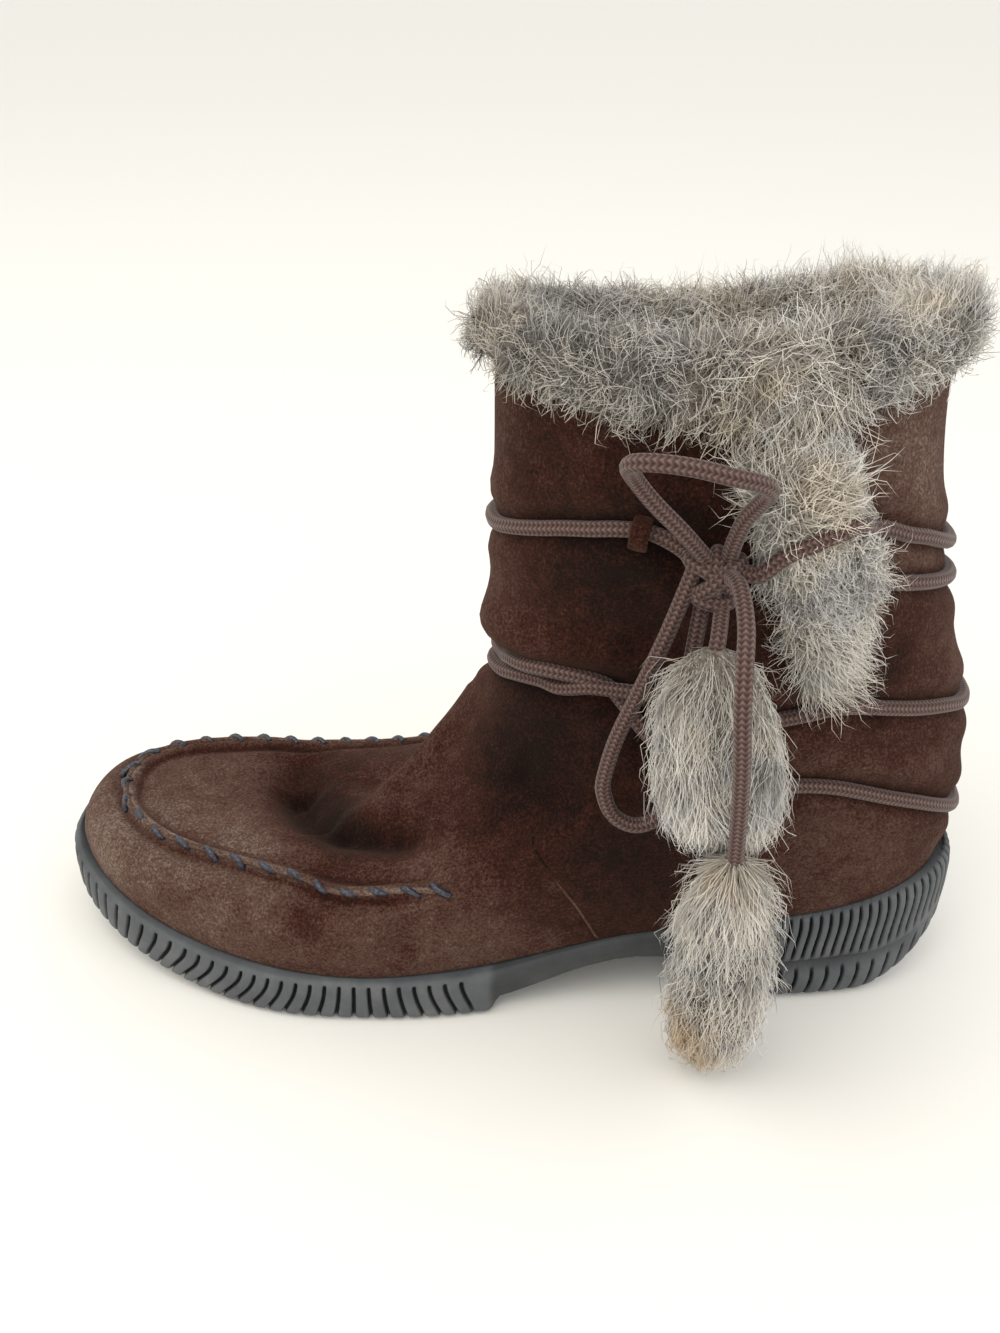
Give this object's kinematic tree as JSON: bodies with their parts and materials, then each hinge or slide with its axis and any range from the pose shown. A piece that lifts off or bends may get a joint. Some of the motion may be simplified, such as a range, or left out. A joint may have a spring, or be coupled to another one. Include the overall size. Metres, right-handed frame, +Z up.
{
  "type": "ankle boot",
  "caption": "Left ankle boot in soft brown suede: ribbed rubber sole, moccasin toe seam, fur cuff and side placket, and a lace wound round the ankle and tied, with fur tassels.",
  "frame": {"origin": "On the floor under the middle of the boot's own box, the tied lace and its tassels left out", "axes": "+X towards the toe, +Y towards the outer side, +Z up"},
  "size_m": [0.2794, 0.1271, 0.2145],
  "materials": {
    "rubber": "matt moulded grey rubber",
    "suede": "napped dark brown suede",
    "fur": "grey-beige pile fur with tan tips",
    "lace": "round braided brown cord",
    "lining": "short pile lining"
  },
  "bodies": {
    "root": {"outsole": "rubber", "insole": "lining", "upper": "suede", "fur_cuff": "fur", "fur_placket": "fur", "lace_keeper": "suede", "lace_upper_wrap": "lace", "lace_lower_wraps": "lace", "lace_knot": "lace", "bow_loop_upper": "lace", "bow_loop_lower": "lace", "lace_end_short": "lace", "lace_end_long": "lace", "tassel_upper": "fur", "tassel_lower": "fur"}
  },
  "joints": []
}
